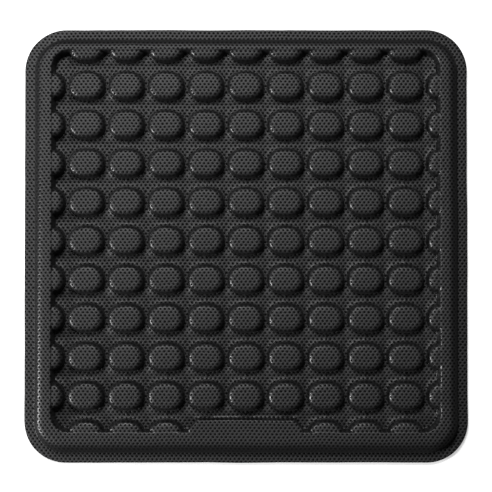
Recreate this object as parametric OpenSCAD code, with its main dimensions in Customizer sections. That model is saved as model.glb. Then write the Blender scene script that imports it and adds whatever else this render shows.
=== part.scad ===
// Moulded door mat: a mesh face over a foam core, on a backing sheet with grip dots.
// The origin is at the centre of the mat, on the surface that it lies on.
// X runs to the right, Y towards the back edge, away from the blank label panel, and Z is up.

/* [Mat] */
// Width of the mat, side to side
mat_w = 450; // [360:1:600]
// Depth of the mat, front to back
mat_d = 440; // [350:1:600]
// Radius of the mat's four corners
corner_r = 42; // [34:1:70]
// Width of the thin flat flange all round
flange_w = 10; // [5:0.5:18]
// Height of the flange's top face above the surface that the mat lies on
flange_top = 4.6; // [4:0.1:7]

/* [Border roll] */
// Height of the border roll's top
roll_top = 19.6; // [15:0.2:30]
// Radius of the roll's rounded outer shoulder
shoulder_r = 12; // [4:0.5:14]
// Mat edge to the bump field, left and right
side_border = 30; // [24:0.5:45]
// Mat edge to the bump field, at the back
back_border = 23.5; // [23.5:0.5:45]
// Mat edge to the bump field, at the front
front_border = 33; // [23.5:0.5:50]
// Radius of the bump field's corners
field_r = 17.5; // [8:0.5:30]

/* [Bump field] */
// Height of the floor between the bumps
floor_top = 8.4; // [6:0.2:12]
// Height of the bumps' tops, just under the roll's
bump_top = 19.2; // [14:0.2:29]
// Spacing of the bumps, side to side
pitch_x = 40.2; // [39:0.1:60]
// Spacing of the bumps, front to back
pitch_y = 39.1; // [32:0.1:60]
// How far the middle bump sits behind the mat's centre
grid_shift = 5; // [0:0.5:12]
// Bump length between its two side tips
bump_w = 38; // [32:0.5:39]
// Bump depth between its two flat edges
bump_d = 31; // [20:0.5:31.5]
// Length of each flat edge
bump_flat = 14; // [6:0.5:16]

/* [Label panel] */
// Width of the blank panel along its back edge
label_w = 98; // [60:1:150]
// Width that each end flares out by at the roll
label_flare = 10; // [4:0.5:20]
// Depth of the panel beyond the roll
label_d = 12; // [6:0.5:14]

/* [Layers] */
// Thickness of the mesh face
cover_t = 1.2; // [0.8:0.1:2]
// Thickness of the backing sheet
backing_t = 1.2; // [0.8:0.1:2]

/* [Grip dots] */
// Diameter of one grip dot
dot_dia = 9; // [4:0.5:14]
// Height of the dots below the backing sheet
dot_h = 1; // [0.5:0.1:1.5]
// Spacing of the dots both ways
dot_pitch = 40; // [20:1:60]
// Least distance from a dot's rim to the mat's edge
dot_margin = 6; // [3:0.5:20]

/* [Hidden] */
$fn = 72;
// Straight facets that make up the shoulder's quarter round
arc_steps = 4;
// Overshoot that keeps a cut clear of the faces it passes
over = 1;
// How far a cut-off bump runs on inside the roll
root = 2;
// Least length of a cut-off bump that is worth showing
least_show = 3;

foam_base = dot_h + backing_t;
field_w = mat_w - 2 * side_border;
field_d = mat_d - front_border - back_border;
field_y = (front_border - back_border) / 2;
field_front = field_y - field_d / 2;
field_back = field_y + field_d / 2;

// The bumps run on past the field's edge, where the roll takes in what is left of them.
cols = ceil((field_w / 2 + bump_w / 2 - least_show) / pitch_x) - 1;
rows_front = ceil((grid_shift - field_front + bump_d / 2 - least_show) / pitch_y) - 1;
rows_back = ceil((field_back - grid_shift + bump_d / 2 - least_show) / pitch_y) - 1;

// Two arcs about centres this far behind and in front of the bump's centre meet at its side tips.
arc_lift = (pow(bump_w / 2, 2) - pow(bump_d / 2, 2) - pow(bump_flat / 2, 2)) / bump_d;
arc_r = norm([bump_w / 2, arc_lift]);

// Whether a bump would run into the label panel, which then takes its place
function meets_label(x, y) =
    abs(x) - bump_w / 2 < label_w / 2 && y - bump_d / 2 < field_front + label_d;

// Whether a place in the grid is one of the four at the field's corners, which stay bare
function at_corner(i, j) = abs(i) == cols && (j == -rows_front || j == rows_back);

// Whether a spot is at least this far inside the mat's rounded outline
function inside_mat(x, y, clear) =
    let (dx = max(abs(x) - (mat_w / 2 - corner_r), 0), dy = max(abs(y) - (mat_d / 2 - corner_r), 0))
    max(abs(x) - mat_w / 2, abs(y) - mat_d / 2) <= -clear && norm([dx, dy]) <= corner_r - clear;

module rounded_slab(w, d, r, h) {
    linear_extrude(h) {
        square([w - 2 * r, d], center = true);
        square([w, d - 2 * r], center = true);
        for (x = [-1, 1], y = [-1, 1])
            translate([x * (w / 2 - r), y * (d / 2 - r)]) circle(r);
    }
}

// Points of a rounded shoulder: up the side, round the arc and across to the middle line
function shoulder_points(reach, h, s) = [
    [0, 0], [reach, 0],
    for (k = [0:arc_steps]) let (turn = 90 * k / arc_steps)
        [reach - s + s * cos(turn), h - s + s * sin(turn)],
    [0, h]
];

// A rounded slab whose top edge is rounded over with radius s
module shouldered_block(w, d, r, h, s) {
    for (side = [0, 1]) mirror([side, 0, 0]) translate([0, d / 2 - r, 0]) rotate([90, 0, 0])
        linear_extrude(d - 2 * r) polygon(shoulder_points(w / 2, h, s));
    for (side = [0, 1]) mirror([0, side, 0]) translate([-w / 2 + r, d / 2 - r, 0]) rotate([90, 0, 90])
        linear_extrude(w - 2 * r) polygon(shoulder_points(r, h, s));
    for (mx = [0, 1], my = [0, 1]) mirror([mx, 0, 0]) mirror([0, my, 0])
        translate([w / 2 - r, d / 2 - r, 0])
            rotate_extrude(angle = 90) polygon(shoulder_points(r, h, s));
}

// An oval post with two flat edges and slightly pointed tips
module bump_post(inset) {
    height = bump_top - floor_top + over;
    intersection() {
        translate([0, arc_lift, 0]) cylinder(r = arc_r - inset, h = height);
        translate([0, -arc_lift, 0]) cylinder(r = arc_r - inset, h = height);
        translate([-bump_w / 2, inset - bump_d / 2, 0]) cube([bump_w, bump_d - 2 * inset, height]);
    }
}

module label_block(inset) {
    half_w = label_w / 2 - inset;
    linear_extrude(roll_top) polygon([
        [-half_w - label_flare, field_front - over],
        [half_w + label_flare, field_front - over],
        [half_w + label_flare, field_front],
        [half_w, field_front + label_d - inset],
        [-half_w, field_front + label_d - inset],
        [-half_w - label_flare, field_front]
    ]);
}

module field_prism(grow, h) {
    translate([0, field_y, 0])
        rounded_slab(field_w + 2 * grow, field_d + 2 * grow, field_r + grow, h);
}

// The pad without its flange or bumps, every face set in by the layer above it
module roll_and_floor(inset) {
    difference() {
        translate([0, 0, foam_base]) shouldered_block(
            mat_w - 2 * flange_w - 2 * inset,
            mat_d - 2 * flange_w - 2 * inset,
            corner_r - flange_w - inset,
            roll_top - inset - foam_base,
            shoulder_r - inset
        );
        translate([0, 0, floor_top - inset]) difference() {
            field_prism(inset, roll_top);
            label_block(inset);
        }
    }
}

// All the bumps, with those at the field's edge cut off just inside the roll
module bumps(inset) {
    intersection() {
        field_prism(inset + root, 2 * roll_top);
        for (i = [-cols:cols], j = [-rows_front:rows_back])
            if (!at_corner(i, j) && !meets_label(i * pitch_x, grid_shift + j * pitch_y))
                translate([i * pitch_x, grid_shift + j * pitch_y, floor_top - inset - over])
                    bump_post(inset);
    }
}

module face_cover() {
    color("#2b2c2e") difference() {
        union() {
            translate([0, 0, foam_base])
                rounded_slab(mat_w, mat_d, corner_r, flange_top - foam_base);
            roll_and_floor(0);
            bumps(0);
        }
        roll_and_floor(cover_t);
        bumps(cover_t);
        translate([0, 0, foam_base - over]) rounded_slab(
            mat_w + 2 * over, mat_d + 2 * over, corner_r + over,
            flange_top - cover_t - foam_base + over
        );
    }
}

module foam_core() {
    color("#3a3a3c") union() {
        translate([0, 0, foam_base])
            rounded_slab(mat_w, mat_d, corner_r, flange_top - cover_t - foam_base);
        roll_and_floor(cover_t);
        bumps(cover_t);
    }
}

module backing_sheet() {
    color("#1d1d1f") translate([0, 0, dot_h]) rounded_slab(mat_w, mat_d, corner_r, backing_t);
}

module grip_dots() {
    reach_x = floor(mat_w / 2 / dot_pitch);
    reach_y = floor(mat_d / 2 / dot_pitch);
    color("#121214") for (i = [-reach_x:reach_x], j = [-reach_y:reach_y])
        if (inside_mat(i * dot_pitch, j * dot_pitch, dot_dia / 2 + dot_margin))
            translate([i * dot_pitch, j * dot_pitch, 0]) cylinder(d = dot_dia, h = dot_h);
}

face_cover();
foam_core();
backing_sheet();
grip_dots();
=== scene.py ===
"""A moulded door mat: a black mesh face pressed over rows of foam bumps inside a raised border roll."""

import math

import bmesh
import bpy
from bpy.props import FloatProperty, FloatVectorProperty, IntProperty, PointerProperty
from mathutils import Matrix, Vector, noise


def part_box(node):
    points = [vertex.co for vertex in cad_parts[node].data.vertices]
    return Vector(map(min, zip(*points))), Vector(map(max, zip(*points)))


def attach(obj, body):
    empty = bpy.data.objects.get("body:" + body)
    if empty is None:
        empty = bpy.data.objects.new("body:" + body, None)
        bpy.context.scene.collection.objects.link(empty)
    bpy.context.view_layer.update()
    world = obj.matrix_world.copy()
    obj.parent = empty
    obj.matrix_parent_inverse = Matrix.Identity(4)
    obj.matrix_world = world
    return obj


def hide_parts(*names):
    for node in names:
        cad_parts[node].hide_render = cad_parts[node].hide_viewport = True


bl_info = {
    "name": "Moulded Door Mat",
    "version": (1, 0, 0),
    "blender": (4, 5, 0),
    "location": "View3D > Sidebar > Door Mat",
    "description": "Builds a moulded door mat with a mesh face, a foam body, a backing and grip dots",
    "category": "Add Mesh",
}

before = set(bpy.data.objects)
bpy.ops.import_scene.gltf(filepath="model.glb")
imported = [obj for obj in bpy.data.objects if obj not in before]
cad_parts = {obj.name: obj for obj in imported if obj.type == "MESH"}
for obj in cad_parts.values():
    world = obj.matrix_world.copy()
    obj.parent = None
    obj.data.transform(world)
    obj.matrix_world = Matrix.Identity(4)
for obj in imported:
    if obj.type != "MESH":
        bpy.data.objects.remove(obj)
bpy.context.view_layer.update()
MM = 0.001

FACE_LOW, FACE_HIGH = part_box("face_cover")
FOAM_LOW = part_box("foam_core")[0]
BACK_LOW, BACK_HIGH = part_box("backing_sheet")
DOTS_LOW, DOTS_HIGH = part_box("grip_dots")


# ---------------------------------------------------------------- sizes

class MatSizes(bpy.types.PropertyGroup):
    """The mat's outline, its border roll and its layers."""

    width: FloatProperty(name="Width", description="Width of the mat, side to side",
                         default=FACE_HIGH.x - FACE_LOW.x, unit="LENGTH")
    depth: FloatProperty(name="Depth", description="Depth of the mat, front to back",
                         default=FACE_HIGH.y - FACE_LOW.y, unit="LENGTH")
    corner: FloatProperty(name="Corner radius", description="Radius of the mat's corners",
                          default=42 * MM, unit="LENGTH")
    flange: FloatProperty(name="Flange width", description="Width of the flat flange all round",
                          default=10 * MM, unit="LENGTH")
    flange_top: FloatProperty(name="Flange top", description="Height of the flange's top",
                              default=4.6 * MM, unit="LENGTH")
    roll_top: FloatProperty(name="Roll top", description="Height of the border roll's top",
                            default=FACE_HIGH.z, unit="LENGTH")
    shoulder: FloatProperty(name="Shoulder", description="Width of the roll's outer shoulder",
                            default=12 * MM, unit="LENGTH")
    side_border: FloatProperty(name="Side border", description="Mat edge to bump field, at the sides",
                               default=30 * MM, unit="LENGTH")
    back_border: FloatProperty(name="Back border", description="Mat edge to bump field, at the back",
                               default=23.5 * MM, unit="LENGTH")
    front_border: FloatProperty(name="Front border", description="Mat edge to bump field, at the front",
                                default=33 * MM, unit="LENGTH")
    field_corner: FloatProperty(name="Field corner", description="Radius of the bump field's corners",
                                default=17.5 * MM, unit="LENGTH")
    cover: FloatProperty(name="Face thickness", description="Thickness of the mesh face",
                         default=1.2 * MM, unit="LENGTH")
    label_width: FloatProperty(name="Panel width", description="Width of the blank panel's back edge",
                               default=98 * MM, unit="LENGTH")
    label_flare: FloatProperty(name="Panel flare", description="How far each end flares out at the roll",
                               default=10 * MM, unit="LENGTH")
    label_depth: FloatProperty(name="Panel depth", description="Depth of the blank panel beyond the roll",
                               default=12 * MM, unit="LENGTH")
    waver: FloatProperty(name="Waver", description="How far the pressed shape wanders from true",
                         default=0.4 * MM, unit="LENGTH")


class BumpSizes(bpy.types.PropertyGroup):
    """The bumps and how they are spaced."""

    pitch_x: FloatProperty(name="Pitch across", description="Spacing of the bumps, side to side",
                           default=40.2 * MM, unit="LENGTH")
    pitch_y: FloatProperty(name="Pitch along", description="Spacing of the bumps, front to back",
                           default=39.1 * MM, unit="LENGTH")
    shift: FloatProperty(name="Grid shift", description="Middle bump behind the mat's centre",
                         default=5 * MM, unit="LENGTH")
    reach: IntProperty(name="Rows each way", description="Bumps either side of the middle one",
                       default=5, min=1)
    width: FloatProperty(name="Bump width", description="Width of a bump at its foot",
                         default=38 * MM, unit="LENGTH")
    depth: FloatProperty(name="Bump depth", description="Depth of a bump at its foot",
                         default=31 * MM, unit="LENGTH")
    pad_width: FloatProperty(name="Pad width", description="Width of the flat pad on a bump's top",
                             default=20 * MM, unit="LENGTH")
    pad_depth: FloatProperty(name="Pad depth", description="Depth of the flat pad on a bump's top",
                             default=11.5 * MM, unit="LENGTH")
    top: FloatProperty(name="Bump top", description="Height of a bump's top",
                       default=19.2 * MM, unit="LENGTH")
    floor: FloatProperty(name="Floor", description="Height of the floor between bumps",
                         default=8.4 * MM, unit="LENGTH")


class FabricLook(bpy.types.PropertyGroup):
    """The mesh fabric and the other finishes."""

    hole_pitch: FloatProperty(name="Hole pitch", description="Spacing of the mesh's holes in a row",
                              default=4.4 * MM, unit="LENGTH")
    row_pitch: FloatProperty(name="Hole rows", description="Spacing of the rows of holes",
                             default=3.05 * MM, unit="LENGTH")
    yarn: FloatVectorProperty(name="Yarn", description="Colour of the mesh's yarn", subtype="COLOR",
                              size=3, min=0, max=1, default=(0.013, 0.013, 0.0136))
    # Painted shade: a near-black colour that stands in for the shade down the mesh's holes.
    painted_hole_shade: FloatVectorProperty(name="Holes", description="Colour seen down the mesh's holes",
                                subtype="COLOR", size=3, min=0, max=1, default=(0.0004, 0.0004, 0.0004))
    foam: FloatVectorProperty(name="Foam", description="Colour of the foam body", subtype="COLOR",
                              size=3, min=0, max=1, default=(0.012, 0.012, 0.013))
    backing: FloatVectorProperty(name="Backing", description="Colour of the backing cloth",
                                 subtype="COLOR", size=3, min=0, max=1, default=(0.020, 0.020, 0.021))
    rubber: FloatVectorProperty(name="Dots", description="Colour of the rubber dots", subtype="COLOR",
                                size=3, min=0, max=1, default=(0.010, 0.010, 0.010))


class StageLook(bpy.types.PropertyGroup):
    """The camera and the lights."""

    eye_height: FloatProperty(name="Eye height", description="Height of the camera above the floor",
                              default=1.05, unit="LENGTH")
    eye_back: FloatProperty(name="Eye back", description="How far in front of the centre the camera is",
                            default=0.038, unit="LENGTH")
    tilt: FloatProperty(name="Tilt", description="The camera's tilt from straight down",
                        default=math.radians(0.9), subtype="ANGLE")
    lens: FloatProperty(name="Lens", description="The camera's focal length in millimetres",
                        default=75.3)
    rise: FloatProperty(name="Rise", description="The lens shift that centres the mat", default=0.0425)


# ---------------------------------------------------------------- small helpers

def deselect_all():
    if bpy.context.object and bpy.context.object.mode != "OBJECT":
        bpy.ops.object.mode_set(mode="OBJECT")
    bpy.ops.object.select_all(action="DESELECT")


def make_object(name, points, faces):
    """An object at the origin from points and faces, shaded smooth."""
    mesh = bpy.data.meshes.new(name)
    mesh.from_pydata(points, [], faces)
    mesh.validate()
    mesh.update()
    mesh.shade_smooth()
    piece = bpy.data.objects.new(name, mesh)
    bpy.context.collection.objects.link(piece)
    return piece


def settle(piece, material):
    """Gives a finished piece its body and its material."""
    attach(piece, "root")
    piece.data.materials.clear()
    piece.data.materials.append(material)


def ease(t):
    t = min(max(t, 0.0), 1.0)
    return t * t * (3 - 2 * t)


def along(table, at):
    """The height that a run of (place, height) pairs has at a place."""
    if at <= table[0][0]:
        return table[0][1]
    for (a, low), (b, high) in zip(table, table[1:]):
        if at <= b:
            return low + (high - low) * (at - a) / (b - a)
    return table[-1][1]


def soft_max(a, b, k):
    """The larger of two heights, rounded where they are within k of each other."""
    h = max(k - abs(a - b), 0.0) / k
    return max(a, b) + h * h * k / 4


SLOW_WAVES, SLOW_SEED = 22, 0.37
QUICK_WAVES, QUICK_SEED, QUICK_SHARE = 70, 4.1, 0.35


def wander(x, y, amount):
    """A slow sideways drift, as pressed cloth has, with a little quicker waver in it."""
    n = noise.noise_vector(Vector((x * SLOW_WAVES, y * SLOW_WAVES, SLOW_SEED)))
    m = noise.noise_vector(Vector((x * QUICK_WAVES, y * QUICK_WAVES, QUICK_SEED)))
    return x + amount * (n.x + QUICK_SHARE * m.x), y + amount * (n.y + QUICK_SHARE * m.y)


# ---------------------------------------------------------------- the outlines

class Outline:
    """A rounded rectangle, walked anticlockwise by station.

    The sides start at even whole numbers, front first, and the corners at odd ones.
    """

    def __init__(self, half_x, half_y, radius, centre_y=0.0):
        self.radius, self.centre_y = radius, centre_y
        self.cx, self.cy = half_x - radius, half_y - radius

    def distance(self, x, y):
        """Distance outward from the outline; inside is below zero."""
        dx, dy = abs(x) - self.cx, abs(y - self.centre_y) - self.cy
        return math.hypot(max(dx, 0), max(dy, 0)) + min(max(dx, dy), 0) - self.radius

    def station(self, x, y):
        """Where along the outline a point lies."""
        y -= self.centre_y
        if abs(x) <= self.cx and y < 0:
            return (x + self.cx) / (2 * self.cx)
        if abs(x) <= self.cx:
            return 4 + (self.cx - x) / (2 * self.cx)
        if abs(y) <= self.cy and x > 0:
            return 2 + (y + self.cy) / (2 * self.cy)
        if abs(y) <= self.cy:
            return 6 + (self.cy - y) / (2 * self.cy)
        corner = 1 if y < 0 and x > 0 else 3 if x > 0 else 5 if y > 0 else 7
        turn = math.atan2(y - math.copysign(self.cy, y), x - math.copysign(self.cx, x))
        return corner + (math.degrees(turn) + 90 - 45 * (corner - 1)) % 360 / 90

    def point(self, station, out):
        """The point at a station, moved out from the outline."""
        k, t = int(station) % 8, station % 1
        r = self.radius + out
        if k == 0:
            x, y = -self.cx + 2 * self.cx * t, -self.cy - r
        elif k == 2:
            x, y = self.cx + r, -self.cy + 2 * self.cy * t
        elif k == 4:
            x, y = self.cx - 2 * self.cx * t, self.cy + r
        elif k == 6:
            x, y = -self.cx - r, self.cy - 2 * self.cy * t
        else:
            turn = math.radians(-90 + 45 * (k - 1) + 90 * t)
            sx = 1 if k in (1, 3) else -1
            sy = 1 if k in (3, 5) else -1
            x, y = sx * self.cx + r * math.cos(turn), sy * self.cy + r * math.sin(turn)
        return x, y + self.centre_y


def even_stations(outline, step, per_corner):
    """Stations spread evenly round an outline."""
    found = []
    for side in range(4):
        length = 2 * (outline.cx if side % 2 == 0 else outline.cy)
        n = round(length / step)
        found += [2 * side + i / n for i in range(n)]
        found += [2 * side + 1 + i / per_corner for i in range(per_corner)]
    return found


# ---------------------------------------------------------------- the moulded surface

STATIONS = 8.0
NO_MORE = 99
PROBE = 1e-6


class Surface:
    """Points, each with its own height, and faces between them."""

    def __init__(self):
        self.points, self.faces = [], []

    def add(self, x, y, z):
        self.points.append([x, y, z])
        return len(self.points) - 1

    def cut(self, distance, keep_outside, snap=0.15 * MM):
        """Cuts every face where distance is zero, and leaves out what is beyond unless it is kept."""
        d = []
        for p in self.points:
            away = distance(p[0], p[1])
            if abs(away) < snap:
                gx = (distance(p[0] + PROBE, p[1]) - away) / PROBE
                gy = (distance(p[0], p[1] + PROBE) - away) / PROBE
                p[0] -= away * gx
                p[1] -= away * gy
                away = 0.0
            d.append(away)
        crossing, kept = {}, []

        def cross(i, j):
            key = (min(i, j), max(i, j))
            if key not in crossing:
                t = d[key[0]] / (d[key[0]] - d[key[1]])
                a, b = self.points[key[0]], self.points[key[1]]
                crossing[key] = self.add(*(u + (v - u) * t for u, v in zip(a, b)))
            return crossing[key]

        for face in self.faces:
            values = [d[i] for i in face]
            if min(values) >= 0:
                if keep_outside:
                    kept.append(face)
                continue
            if max(values) <= 0:
                kept.append(face)
                continue
            inner, outer = [], []
            for i, j in zip(face, face[1:] + face[:1]):
                if d[i] <= 0:
                    inner.append(i)
                if d[i] >= 0:
                    outer.append(i)
                if d[i] * d[j] < 0:
                    c = cross(i, j)
                    inner.append(c)
                    outer.append(c)
            if len(inner) > 2:
                kept.append(inner)
            if keep_outside and len(outer) > 2:
                kept.append(outer)
        self.faces = kept
        return {i for i, away in enumerate(d) if away == 0.0} | set(crossing.values())

    def strip(self, inner, outer):
        """A band of quads between two closed rows of as many points, both anticlockwise."""
        n = len(inner)
        for i in range(n):
            j = (i + 1) % n
            self.faces.append([inner[i], outer[i], outer[j], inner[j]])

    def zip_rows(self, inner, inner_at, outer, outer_at):
        """A band of triangles between two closed rows of different counts, matched by station."""
        a = sorted(range(len(inner)), key=lambda i: inner_at[i])
        b = sorted(range(len(outer)), key=lambda i: outer_at[i])
        i = j = 0
        while i < len(a) or j < len(b):
            here, there = inner[a[i % len(a)]], outer[b[j % len(b)]]
            next_a = inner_at[a[i]] if i < len(a) else NO_MORE
            next_b = outer_at[b[j]] if j < len(b) else NO_MORE
            step_a = inner_at[a[i + 1]] if i + 1 < len(a) else STATIONS if i < len(a) else NO_MORE
            step_b = outer_at[b[j + 1]] if j + 1 < len(b) else STATIONS if j < len(b) else NO_MORE
            if step_a <= step_b and next_a < NO_MORE:
                self.faces.append([here, there, inner[a[(i + 1) % len(a)]]])
                i += 1
            elif next_b < NO_MORE:
                self.faces.append([here, there, outer[b[(j + 1) % len(b)]]])
                j += 1

    def object(self, name):
        used = sorted({i for face in self.faces for i in face})
        place = {old: new for new, old in enumerate(used)}
        return make_object(name, [self.points[i] for i in used],
                           [[place[i] for i in face] for face in self.faces])


# Profiles are pairs of (place, height share). DOME runs from a bump's foot to its pad, SHOULDER from
# the flange to the roll's top, and the two walls outward in millimetres from the line they stand on.
DOME = [(0.0, 0.0), (0.03, 0.19), (0.07, 0.38), (0.12, 0.55), (0.19, 0.69), (0.28, 0.8), (0.4, 0.88),
        (0.55, 0.94), (0.75, 0.98), (1.0, 1.0)]
SHOULDER = [(0.0, 0.0), (0.03, 0.1), (0.08, 0.25), (0.16, 0.43), (0.27, 0.61), (0.4, 0.76), (0.55, 0.875),
            (0.72, 0.955), (0.88, 0.99), (1.0, 1.0)]
WALL = [(-2.4, 0.0), (-1.9, 0.11), (-1.2, 0.47), (-0.6, 0.76), (0.0, 0.9), (0.5, 0.965), (1.0, 0.99),
        (1.4, 1.0)]
PANEL_WALL = [(-1.4, 1.0), (-0.5, 0.975), (0.25, 0.88), (0.9, 0.0)]
# The flange's edge, in millimetres: how far in from the edge, and how far above the flange's top.
LIPS = [(9.5, 0.0), (7.0, 0.06), (4.0, 0.08), (1.5, 0.03), (0.55, -0.08), (0.14, -0.35), (0.0, -0.75),
        (0.0, -1.2)]
PLAIN_LIPS = [(5.0, 0.0), (0.6, 0.0)]

FOOT_RINGS = ((1.75, 0.0), (1.35, 0.5), (0.95, 0.42), (0.3, 0.28))
FOOT_LIFT = 0.3 * MM
OVAL, PAD_OVAL, CROWN_OVAL = 2.3, 2.6, 2.4
CREASE = 0.1 * MM
CROWN = 0.12 * MM
CROWN_SHARE = 0.55
RIB_LIFT = 0.3 * MM
RIB_SLACK = 0.1 * MM
RIB_ROWS = 5
FRONT_EXTRA = 3 * MM


def bump_rings(sizes, skin, rings):
    """A bump from its low base ring inwards to its middle: half width, half depth, power, height."""
    a, b = sizes.width / 2 - skin, sizes.depth / 2 - skin
    pad_a, pad_b = sizes.pad_width / 2 - skin / 2, sizes.pad_depth / 2 - skin / 2
    floor, top = sizes.floor - skin, sizes.top - skin
    found = []
    if not skin:
        widest = FOOT_RINGS[0][0]
        for out, lift in FOOT_RINGS:
            found.append((a + out / widest * MM, b + out * MM, OVAL, floor + lift * MM))
    foot = floor + (FOOT_LIFT if not skin else 0)
    for s in rings:
        rise = along(DOME, s)
        found.append((a + (pad_a - a) * s, b + (pad_b - b) * s, OVAL + 0.3 * s, foot + (top - foot) * rise))
    if not skin:
        for inset, sunk in ((0.35 * MM, CREASE), (0.8 * MM, 0.02 * MM)):
            found.append((pad_a - inset, pad_b - inset, PAD_OVAL, top - sunk))
    crown = top + (CROWN if not skin else 0)
    found.append((pad_a * CROWN_SHARE, pad_b * CROWN_SHARE, CROWN_OVAL, crown))
    return found


def bump_cell(sizes, skin, spokes, rings):
    """One grid cell with a bump in it: its rows of points from the cell's edge inwards, and its middle."""
    half_x, half_y = sizes.pitch_x / 2, sizes.pitch_y / 2
    rows = [[]]
    for turn in spokes:
        c, s = math.cos(turn), math.sin(turn)
        m = max(abs(c), abs(s))
        rows[0].append((half_x * c / m, half_y * s / m, sizes.floor - skin))
    for a, b, power, z in bump_rings(sizes, skin, rings):
        row = []
        for turn in spokes:
            c, s = math.cos(turn), math.sin(turn)
            u = math.copysign(abs(c) ** (2 / power), c) * a
            v = math.copysign(abs(s) ** (2 / power), s) * b
            row.append((u, v, z))
        rows.append(row)
    middle = (0.0, 0.0, rows[-1][0][2])
    return rows, middle


def rib_lift(sizes, u, v):
    """The short upright rib that joins a bump to the ones in front and behind."""
    if abs(u) > RIB_SLACK or abs(v) < sizes.depth / 2 - RIB_SLACK:
        return 0.0
    return RIB_LIFT


def front_share(station):
    """How much a station belongs to the front, where the roll's shoulder is wider."""
    return 1.0 if station <= 1 else ease(2 - station) if station < 2 else ease(station - 7)


def moulded_surface(mat, bump, skin, fine):
    """The whole pressed face as one surface, and its outermost row of points.

    skin lowers it by the face's thickness, for the foam under it, which needs no fine detail.
    """
    half_x, half_y = mat.width / 2, mat.depth / 2
    borders = (mat.front_border + mat.back_border) / 2
    field = Outline(half_x - mat.side_border + skin, half_y - borders + skin, mat.field_corner + skin,
                    (mat.front_border - mat.back_border) / 2)
    edge = Outline(half_x, half_y, mat.corner)
    floor, top = bump.floor - skin, mat.roll_top - skin
    if fine:
        turns = [k * 11.25 for k in range(32)] + [88.4, 91.6, 268.4, 271.6]
        rings = [place for place, _ in DOME]
    else:
        turns = [k * 22.5 for k in range(16)]
        rings = (0.0, 0.07, 0.2, 0.42, 0.7, 1.0)
    spokes = [math.radians(t) for t in sorted(turns)]
    rows, middle = bump_cell(bump, skin, spokes, rings)

    surface = Surface()
    welded = {}
    front = field.centre_y - field.cy - field.radius
    panel_back = front + mat.label_depth - skin
    panel_half = mat.label_width / 2 - skin
    slant = math.hypot(mat.label_flare, mat.label_depth)

    def panel_distance(x, y):
        side = (abs(x) - panel_half - (panel_back - y) * mat.label_flare / mat.label_depth)
        return max(y - panel_back, side * mat.label_depth / slant)

    def stands(i, j):
        corner = abs(i) == bump.reach and abs(j) == bump.reach
        return not corner and not (abs(i) <= 1 and j == -bump.reach)

    for i in range(-bump.reach, bump.reach + 1):
        for j in range(-bump.reach, bump.reach + 1):
            cx, cy = i * bump.pitch_x, bump.shift + j * bump.pitch_y
            bump_here = stands(i, j)
            drawn = []
            for r, row in enumerate(rows):
                line = []
                for u, v, z in row:
                    key = (round((cx + u) / (0.01 * MM)), round((cy + v) / (0.01 * MM)))
                    if r == 0 and key in welded:
                        line.append(welded[key])
                        continue
                    lift = rib_lift(bump, u, v) if fine and r < RIB_ROWS and bump_here else 0.0
                    p = surface.add(cx + u, cy + v, (z + lift) if bump_here else floor)
                    if r == 0:
                        welded[key] = p
                    line.append(p)
                drawn.append(line)
            for outer, inner in zip(drawn, drawn[1:]):
                surface.strip(inner, outer)
            hub = surface.add(cx, cy, middle[2] if bump_here else floor)
            last = drawn[-1]
            for k in range(len(last)):
                surface.faces.append([last[k], last[(k + 1) % len(last)], hub])

    # The blank panel stands at the front, level with the roll.
    panel_cuts = [out for out, _ in reversed(PANEL_WALL)]
    for out in panel_cuts if fine else panel_cuts[:2] + panel_cuts[3:]:
        surface.cut(lambda x, y, out=out: panel_distance(x, y) - out * MM, True)
    panel_reach = 1.5 * bump.pitch_x
    for p in surface.points:
        if abs(p[0]) <= panel_reach and p[1] < bump.shift - (bump.reach - 0.5) * bump.pitch_y:
            share = along(PANEL_WALL, panel_distance(p[0], p[1]) / MM)
            p[2] = max(p[2], floor + (top - floor) * share)

    # The field ends at the foot of the roll's inner wall.
    foot_out = WALL[0][0] * MM
    on_line = surface.cut(lambda x, y: field.distance(x, y) - foot_out, False)
    rim = [i for i in {i for face in surface.faces for i in face} if i in on_line]
    rim.sort(key=lambda i: field.station(*surface.points[i][:2]))
    at = [field.station(*surface.points[i][:2]) for i in rim]
    base = [surface.points[i][2] for i in rim]

    # From there the surface climbs the wall ring by ring.
    row = rim
    walls = WALL[1:-1] if fine else WALL[2:-1:2]
    for out, share in walls:
        rise = floor + (top - floor) * share
        fresh = []
        for s, z in zip(at, base):
            x, y = field.point(s, out * MM)
            fresh.append(surface.add(x, y, min(soft_max(z, rise, 1.2 * MM), top)))
        surface.strip(row, fresh)
        row = fresh

    # The roll's top and outer shoulder need far fewer points round.
    coarse = even_stations(field, 4 * MM if fine else 8 * MM, 18 if fine else 10)
    crest = [surface.add(*field.point(s, WALL[-1][0] * MM), top) for s in coarse]
    surface.zip_rows(row, at, crest, coarse)
    row = crest
    shoulder = [mat.shoulder + FRONT_EXTRA * front_share(s) for s in coarse]
    for share in (0.5, 1.0):
        fresh = []
        for s, wide in zip(coarse, shoulder):
            (x0, y0), (x1, y1) = field.point(s, WALL[-1][0] * MM), edge.point(s, -mat.flange - wide)
            fresh.append(surface.add(x0 + (x1 - x0) * share, y0 + (y1 - y0) * share, top))
        surface.strip(row, fresh)
        row = fresh
    flange_top = mat.flange_top - skin
    for s_in in [place for place, _ in SHOULDER[-2::-1 if fine else -2]]:
        z = flange_top + (top - flange_top) * along(SHOULDER, s_in)
        fresh = [surface.add(*edge.point(s, -mat.flange - skin - (wide - skin) * s_in), z)
                 for s, wide in zip(coarse, shoulder)]
        surface.strip(row, fresh)
        row = fresh
    for inset, lift in LIPS if fine else PLAIN_LIPS:
        fresh = [surface.add(*edge.point(s, -inset * MM), flange_top + lift * MM) for s in coarse]
        surface.strip(row, fresh)
        row = fresh
    return surface, row


# ---------------------------------------------------------------- node helpers

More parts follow.
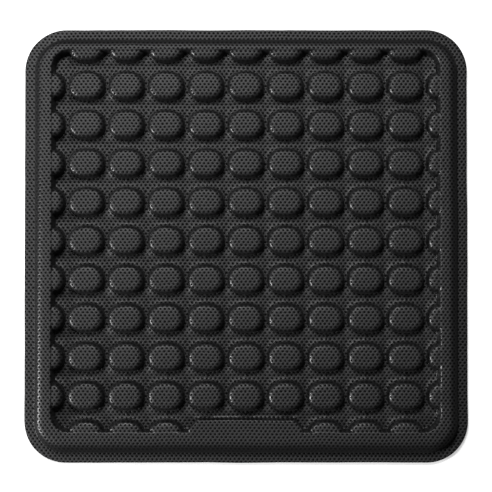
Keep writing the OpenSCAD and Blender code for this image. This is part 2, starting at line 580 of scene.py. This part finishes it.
class Recipe:
    """Builds a material's nodes one after another."""

    def __init__(self, name, base, roughness, specular):
        self.material = bpy.data.materials.new(name)
        self.material.use_nodes = True
        self.tree = self.material.node_tree
        self.shader = self.tree.nodes["Principled BSDF"]
        self.shader.inputs["Base Color"].default_value = (*base, 1)
        self.shader.inputs["Roughness"].default_value = roughness
        self.shader.inputs["Specular IOR Level"].default_value = specular
        self.object = self.tree.nodes.new("ShaderNodeTexCoord").outputs["Object"]

    def put(self, socket, value):
        if isinstance(value, bpy.types.NodeSocket):
            self.tree.links.new(value, socket)
        else:
            socket.default_value = value

    def math(self, operation, a, b=0.0):
        node = self.tree.nodes.new("ShaderNodeMath")
        node.operation = operation
        for socket, value in zip(node.inputs, (a, b)):
            self.put(socket, value)
        return node.outputs[0]

    def vector(self, operation, a, b=(0, 0, 0)):
        node = self.tree.nodes.new("ShaderNodeVectorMath")
        node.operation = operation
        self.put(node.inputs[0], a)
        if operation == "SCALE":
            self.put(node.inputs["Scale"], b)
        elif operation not in ("FRACTION", "LENGTH"):
            self.put(node.inputs[1], b)
        return node.outputs["Value"] if operation == "LENGTH" else node.outputs[0]

    def split(self, vector):
        node = self.tree.nodes.new("ShaderNodeSeparateXYZ")
        self.put(node.inputs[0], vector)
        return node.outputs

    def ramp(self, value, low, high, to_low=0.0, to_high=1.0):
        """Value eased from one range into another."""
        node = self.tree.nodes.new("ShaderNodeMapRange")
        node.interpolation_type = "SMOOTHSTEP"
        for key, v in (("Value", value), ("From Min", low), ("From Max", high),
                       ("To Min", to_low), ("To Max", to_high)):
            self.put(node.inputs[key], v)
        return node.outputs["Result"]

    def mix(self, share, a, b):
        node = self.tree.nodes.new("ShaderNodeMix")
        node.data_type = "RGBA"
        self.put(node.inputs["Factor"], share)
        for key, v in (("A", a), ("B", b)):
            socket = [s for s in node.inputs if s.name == key and s.type == "RGBA"][0]
            self.put(socket, v if isinstance(v, bpy.types.NodeSocket) else (*v, 1))
        return [s for s in node.outputs if s.type == "RGBA"][0]

    def noise(self, scale, detail=2.0, colour=False):
        node = self.tree.nodes.new("ShaderNodeTexNoise")
        node.inputs["Scale"].default_value = scale
        node.inputs["Detail"].default_value = detail
        self.put(node.inputs["Vector"], self.object)
        return node.outputs["Color" if colour else "Fac"]

    def bump(self, height, distance, strength=1.0):
        node = self.tree.nodes.new("ShaderNodeBump")
        node.inputs["Strength"].default_value = strength
        node.inputs["Distance"].default_value = distance
        self.put(node.inputs["Height"], height)
        self.put(self.shader.inputs["Normal"], node.outputs[0])

    def set(self, key, value):
        """Puts a value or another node's result into one of the shader's inputs."""
        self.put(self.shader.inputs[key], value)


def mesh_fabric(look):
    """Black spacer mesh: staggered holes between brighter threads, drawn shut where it is stretched. Its
    colour carries painted shade in the holes and on steep slopes, and a painted highlight along the thread
    crests.
    """
    m = Recipe("mesh_fabric", look.yarn, 0.62, 0.5)
    drift = m.vector("SUBTRACT", m.noise(26, 2, colour=True), (0.5, 0.5, 0.5))
    shake = m.vector("SUBTRACT", m.noise(330, 1, colour=True), (0.5, 0.5, 0.5))
    place = m.vector("ADD", m.object, m.vector("SCALE", drift, 2.4 * MM))
    place = m.vector("ADD", place, m.vector("SCALE", shake, 0.9 * MM))
    cells = m.vector("MULTIPLY", place, (1 / look.hole_pitch, 0.5 / look.row_pitch, 0))
    half_wide, half_long = 1.12 * MM, 1.0 * MM
    size = (look.hole_pitch / half_wide, 2 * look.row_pitch / half_long, 0)
    near = []
    for start in ((0, 0, 0), (0.5, 0.5, 0)):
        spot = m.vector("FRACTION", m.vector("ADD", cells, start))
        spot = m.vector("MULTIPLY", m.vector("SUBTRACT", spot, (0.5, 0.5, 0)), size)
        near.append(m.vector("LENGTH", spot))
    reach = m.math("MINIMUM", *near)
    hole = m.ramp(reach, 0.7, 1.15, 1.0, 0.0)
    crest = m.ramp(reach, 1.1, 1.9)

    geometry = m.tree.nodes.new("ShaderNodeNewGeometry")
    up = m.split(geometry.outputs["Normal"])[2]
    flat = m.ramp(up, 0.35, 0.9, 0.25, 0.88)
    hole = m.math("MULTIPLY", hole, flat)
    fuzz = m.noise(1500, 3)
    patch = m.noise(14, 3)
    shade = m.math("MULTIPLY", m.ramp(fuzz, 0.25, 0.75, 0.78, 1.22), m.ramp(patch, 0.3, 0.7, 0.92, 1.08))
    # Painted highlight: the yarn is darker beside the holes and lighter along the thread crests between
    # them.
    shade = m.math("MULTIPLY", shade, m.math("ADD", 0.65, m.math("MULTIPLY", crest, 1.3)))
    # Painted shade: the yarn is darkened where the surface slopes, on the walls of the bumps and the roll.
    shade = m.math("MULTIPLY", shade, m.ramp(up, 0.3, 0.98, 0.5, 1.0))
    yarn = m.vector("SCALE", (*look.yarn,), shade)
    # Painted shade: the holes take the near-black hole colour, less so where the mesh is stretched.
    m.set("Base Color", m.mix(hole, yarn, look.painted_hole_shade))
    m.set("Roughness", m.math("MAXIMUM", m.ramp(up, 0.8, 0.99, 0.33, 0.6), hole))
    m.set("Specular IOR Level", m.math("SUBTRACT", 0.5, m.math("MULTIPLY", hole, 0.45)))
    m.shader.inputs["Sheen Weight"].default_value = 0.02
    m.shader.inputs["Sheen Roughness"].default_value = 0.45
    height = m.math("SUBTRACT", m.math("MULTIPLY", crest, 0.35), hole)
    height = m.math("ADD", height, m.math("MULTIPLY", fuzz, 0.25))
    # Stretched slopes lie smoother and shine more than the flats.
    height = m.math("MULTIPLY", height, m.ramp(up, 0.7, 0.98, 0.25, 1.0))
    m.bump(height, 0.45 * MM, 0.8)
    return m.material


def cut_foam(look):
    """Open-celled black foam, as its cut edge shows."""
    m = Recipe("cut_foam", look.foam, 0.85, 0.3)
    cells = m.tree.nodes.new("ShaderNodeTexVoronoi")
    cells.inputs["Scale"].default_value = 1600
    m.put(cells.inputs["Vector"], m.object)
    pore = m.ramp(cells.outputs["Distance"], 0.15, 0.6)
    # Painted shade in the pores: they are darkened and the cell walls between them lightened.
    m.set("Base Color", m.mix(pore, tuple(c * 0.5 for c in look.foam), tuple(c * 1.5 for c in look.foam)))
    m.bump(pore, 0.25 * MM)
    return m.material


def backing_cloth(look):
    """Plain black knit: rows of small upright loops."""
    m = Recipe("backing_cloth", look.backing, 0.8, 0.3)
    cells = m.vector("MULTIPLY", m.object, (1 / (1.1 * MM), 1 / (1.5 * MM), 0))
    x, y, _ = m.split(m.vector("FRACTION", cells))
    across = m.math("ABSOLUTE", m.math("SUBTRACT", x, 0.5))
    loop = m.math("FRACT", m.math("ADD", y, m.math("MULTIPLY", across, 1.4)))
    rise = m.math("SINE", m.math("MULTIPLY", loop, math.pi))
    valley = m.ramp(across, 0.3, 0.5, 1.0, 0.35)
    height = m.math("MULTIPLY", rise, valley)
    patch = m.ramp(m.noise(40, 3), 0.3, 0.7, 0.88, 1.12)
    # Painted light: the knit is darkened in the valleys between loops and lightened on the loop tops.
    shade = m.math("MULTIPLY", m.ramp(height, 0.1, 0.9, 0.55, 1.25), patch)
    m.set("Base Color", m.vector("SCALE", (*look.backing,), shade))
    m.bump(m.math("ADD", height, m.math("MULTIPLY", m.noise(2500, 2), 0.3)), 0.2 * MM)
    return m.material


def dot_rubber(look):
    """Soft black rubber with a fine grain and dusty patches."""
    m = Recipe("dot_rubber", look.rubber, 0.55, 0.5)
    grain = m.noise(1800, 3)
    dust = m.ramp(m.noise(60, 4), 0.45, 0.75)
    dusty = tuple(c * 2.2 for c in look.rubber)
    m.set("Base Color", m.mix(m.math("MULTIPLY", dust, 0.5), look.rubber, dusty))
    m.set("Roughness", m.ramp(grain, 0.3, 0.7, 0.45, 0.68))
    m.bump(grain, 0.06 * MM)
    return m.material


# ---------------------------------------------------------------- the pieces

DOT_RADIUS, DOT_PITCH, DOT_COUNT = 4.5 * MM, 40 * MM, 11


# The drift starts from the clock unless it is seeded, and would come out different each time.
WAVER_SEED = 7


def waver_points(piece, amount):
    """Lets every point of a piece drift with the same slow waver, so that layers stay together."""
    noise.seed_set(WAVER_SEED)
    for v in piece.data.vertices:
        v.co.x, v.co.y = wander(v.co.x, v.co.y, amount)
    piece.data.update()


class DOORMAT_OT_foam_body(bpy.types.Operator):
    """Make the moulded foam body under the mesh face"""

    bl_idname = "doormat.foam_body"
    bl_label = "Foam Body"

    def execute(self, context):
        deselect_all()
        mat, bump, look = context.scene.mat_sizes, context.scene.bump_sizes, context.scene.fabric_look
        surface, rim = moulded_surface(mat, bump, mat.cover, False)
        low = [surface.add(*surface.points[i][:2], FOAM_LOW.z) for i in rim]
        surface.strip(rim, low)
        surface.faces.append(list(reversed(low)))
        body = surface.object("foam_body")
        waver_points(body, mat.waver)
        settle(body, cut_foam(look))
        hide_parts("foam_core")
        return {"FINISHED"}


class DOORMAT_OT_mesh_face(bpy.types.Operator):
    """Make the mesh face, pressed over the foam as one sheet"""

    bl_idname = "doormat.mesh_face"
    bl_label = "Mesh Face"

    def execute(self, context):
        deselect_all()
        mat, bump, look = context.scene.mat_sizes, context.scene.bump_sizes, context.scene.fabric_look
        surface, rim = moulded_surface(mat, bump, 0.0, True)
        face = surface.object("mesh_face")
        waver_points(face, mat.waver)
        settle(face, mesh_fabric(look))
        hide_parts("face_cover")
        return {"FINISHED"}


class DOORMAT_OT_backing(bpy.types.Operator):
    """Make the backing sheet with its rounded corners"""

    bl_idname = "doormat.backing"
    bl_label = "Backing Sheet"

    def execute(self, context):
        deselect_all()
        mat, look = context.scene.mat_sizes, context.scene.fabric_look
        bpy.ops.mesh.primitive_plane_add(size=1, location=(0, 0, BACK_LOW.z))
        sheet = context.object
        sheet.name = sheet.data.name = "backing_cloth"
        sheet.scale = (mat.width, mat.depth, 1)
        bpy.ops.object.transform_apply(location=True, rotation=True, scale=True)
        bpy.ops.object.mode_set(mode="EDIT")
        bpy.ops.mesh.select_all(action="SELECT")
        bpy.ops.mesh.bevel(offset=mat.corner, segments=18, affect="VERTICES")
        bpy.ops.mesh.select_all(action="SELECT")
        bpy.ops.mesh.extrude_region_move(TRANSFORM_OT_translate={"value": (0, 0, BACK_HIGH.z - BACK_LOW.z)})
        bpy.ops.object.mode_set(mode="OBJECT")
        rim = sheet.modifiers.new("rim", "BEVEL")
        rim.width, rim.segments, rim.limit_method = 0.3 * MM, 2, "ANGLE"
        rim.angle_limit = math.radians(60)
        bpy.ops.object.modifier_apply(modifier="rim")
        bpy.ops.object.mode_set(mode="EDIT")
        bpy.ops.mesh.select_all(action="SELECT")
        bpy.ops.mesh.normals_make_consistent(inside=False)
        bpy.ops.object.mode_set(mode="OBJECT")
        bpy.ops.object.shade_smooth_by_angle(angle=math.radians(40))
        settle(sheet, backing_cloth(look))
        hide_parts("backing_sheet")
        return {"FINISHED"}


class DOORMAT_OT_grip_dots(bpy.types.Operator):
    """Make the rubber dots under the backing, from one dot copied in rows"""

    bl_idname = "doormat.grip_dots"
    bl_label = "Grip Dots"

    def execute(self, context):
        deselect_all()
        look = context.scene.fabric_look
        radius, pitch, count = DOT_RADIUS, DOT_PITCH, DOT_COUNT
        height = DOTS_HIGH.z - DOTS_LOW.z
        first = -pitch * (count - 1) / 2
        bpy.ops.mesh.primitive_cylinder_add(vertices=24, radius=radius, depth=height,
                                            location=(first, first, DOTS_LOW.z + height / 2))
        dots = context.object
        dots.name = dots.data.name = "grip_pads"
        bpy.ops.object.transform_apply(location=True, rotation=True, scale=True)
        bpy.ops.object.mode_set(mode="EDIT")
        bpy.ops.mesh.select_all(action="DESELECT")
        bm = bmesh.from_edit_mesh(dots.data)
        bm.select_mode = {"EDGE"}
        for e in bm.edges:
            e.select = all(v.co.z < DOTS_LOW.z + height * 0.1 for v in e.verts)
        bm.select_flush_mode()
        bmesh.update_edit_mesh(dots.data)
        bpy.ops.mesh.bevel(offset=height * 0.8, segments=3, affect="EDGES")
        bpy.ops.object.mode_set(mode="OBJECT")
        for name, step in (("across", (pitch, 0, 0)), ("along", (0, pitch, 0))):
            rows = dots.modifiers.new(name, "ARRAY")
            rows.use_relative_offset, rows.use_constant_offset = False, True
            rows.constant_offset_displace, rows.count = step, count
            bpy.ops.object.modifier_apply(modifier=name)
        bpy.ops.object.shade_smooth_by_angle(angle=math.radians(50))
        settle(dots, dot_rubber(look))
        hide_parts("grip_dots")
        return {"FINISHED"}


# ---------------------------------------------------------------- the stage

TOP_PLACE, TOP_SIZE, TOP_WATTS = (-0.26, 0.80, 1.22), 0.4, 19
SIDE_PLACE, SIDE_SIZE, SIDE_WATTS = (-1.34, -0.48, 0.46), 0.3, 22
ROOM_LIGHT = 0.05
FLOOR_GLOW = 0.5
FLOOR_PAINT = (0.93, 0.93, 0.93)


def soft_light(name, place, size, watts):
    """A square panel light at a place, facing the middle of the mat."""
    light = bpy.data.lights.new(name, "AREA")
    light.shape, light.size, light.energy = "SQUARE", size, watts
    holder = bpy.data.objects.new(name, light)
    holder.location = place
    holder.rotation_mode = "QUATERNION"
    holder.rotation_quaternion = (-Vector(place)).to_track_quat("-Z", "Y")
    bpy.context.collection.objects.link(holder)


class DOORMAT_OT_stage(bpy.types.Operator):
    """Make the pale floor, the studio light and the camera"""

    bl_idname = "doormat.stage"
    bl_label = "Stage"

    def execute(self, context):
        deselect_all()
        look, scene = context.scene.stage_look, context.scene
        bpy.ops.mesh.primitive_plane_add(size=6, location=(0, 0, 0))
        floor = context.object
        floor.name = floor.data.name = "pale_floor"
        paint = Recipe("floor_paint", FLOOR_PAINT, 0.9, 0.1)
        tone = paint.ramp(paint.noise(3, 2), 0.3, 0.7, 0.99, 1.0)
        paint.set("Base Color", paint.vector("SCALE", FLOOR_PAINT, tone))
        paint.shader.inputs["Emission Color"].default_value = (1, 1, 1, 1)
        paint.shader.inputs["Emission Strength"].default_value = FLOOR_GLOW
        floor.data.materials.append(paint.material)
        floor.visible_diffuse = floor.visible_glossy = False

        world = bpy.data.worlds.new("studio")
        world.use_nodes = True
        world.node_tree.nodes["Background"].inputs["Color"].default_value = (1, 1, 1, 1)
        world.node_tree.nodes["Background"].inputs["Strength"].default_value = ROOM_LIGHT
        scene.world = world
        soft_light("top_panel", TOP_PLACE, TOP_SIZE, TOP_WATTS)
        soft_light("side_panel", SIDE_PLACE, SIDE_SIZE, SIDE_WATTS)

        camera = bpy.data.objects.new("camera", bpy.data.cameras.new("camera"))
        camera.location = (0, -look.eye_back, look.eye_height)
        camera.rotation_euler = (look.tilt, 0, 0)
        camera.data.lens, camera.data.shift_y = look.lens, look.rise
        camera.data.sensor_width = 36
        context.collection.objects.link(camera)
        scene.camera = camera
        scene.view_settings.view_transform = "Standard"
        return {"FINISHED"}


class DOORMAT_PT_parts(bpy.types.Panel):
    """The door mat's pieces and their sizes"""

    bl_idname = "DOORMAT_PT_parts"
    bl_label = "Door Mat"
    bl_space_type = "VIEW_3D"
    bl_region_type = "UI"
    bl_category = "Door Mat"

    def draw(self, context):
        for group in (context.scene.mat_sizes, context.scene.bump_sizes,
                      context.scene.fabric_look, context.scene.stage_look):
            box = self.layout.box()
            for key in group.__annotations__:
                box.prop(group, key)
        for step in STEPS:
            self.layout.operator(step.bl_idname)


STEPS = (DOORMAT_OT_foam_body, DOORMAT_OT_mesh_face, DOORMAT_OT_grip_dots, DOORMAT_OT_backing,
         DOORMAT_OT_stage)
GROUPS = (("mat_sizes", MatSizes), ("bump_sizes", BumpSizes), ("fabric_look", FabricLook),
          ("stage_look", StageLook))


def register():
    for _, group in GROUPS:
        bpy.utils.register_class(group)
    for step in STEPS:
        bpy.utils.register_class(step)
    bpy.utils.register_class(DOORMAT_PT_parts)
    for key, group in GROUPS:
        setattr(bpy.types.Scene, key, PointerProperty(type=group))


def unregister():
    for key, _ in GROUPS:
        delattr(bpy.types.Scene, key)
    bpy.utils.unregister_class(DOORMAT_PT_parts)
    for step in reversed(STEPS):
        bpy.utils.unregister_class(step)
    for _, group in reversed(GROUPS):
        bpy.utils.unregister_class(group)


def main():
    register()
    bpy.ops.doormat.foam_body()
    bpy.ops.doormat.mesh_face()
    bpy.ops.doormat.grip_dots()
    bpy.ops.doormat.backing()
    bpy.ops.doormat.stage()


if __name__ == "__main__":
    main()
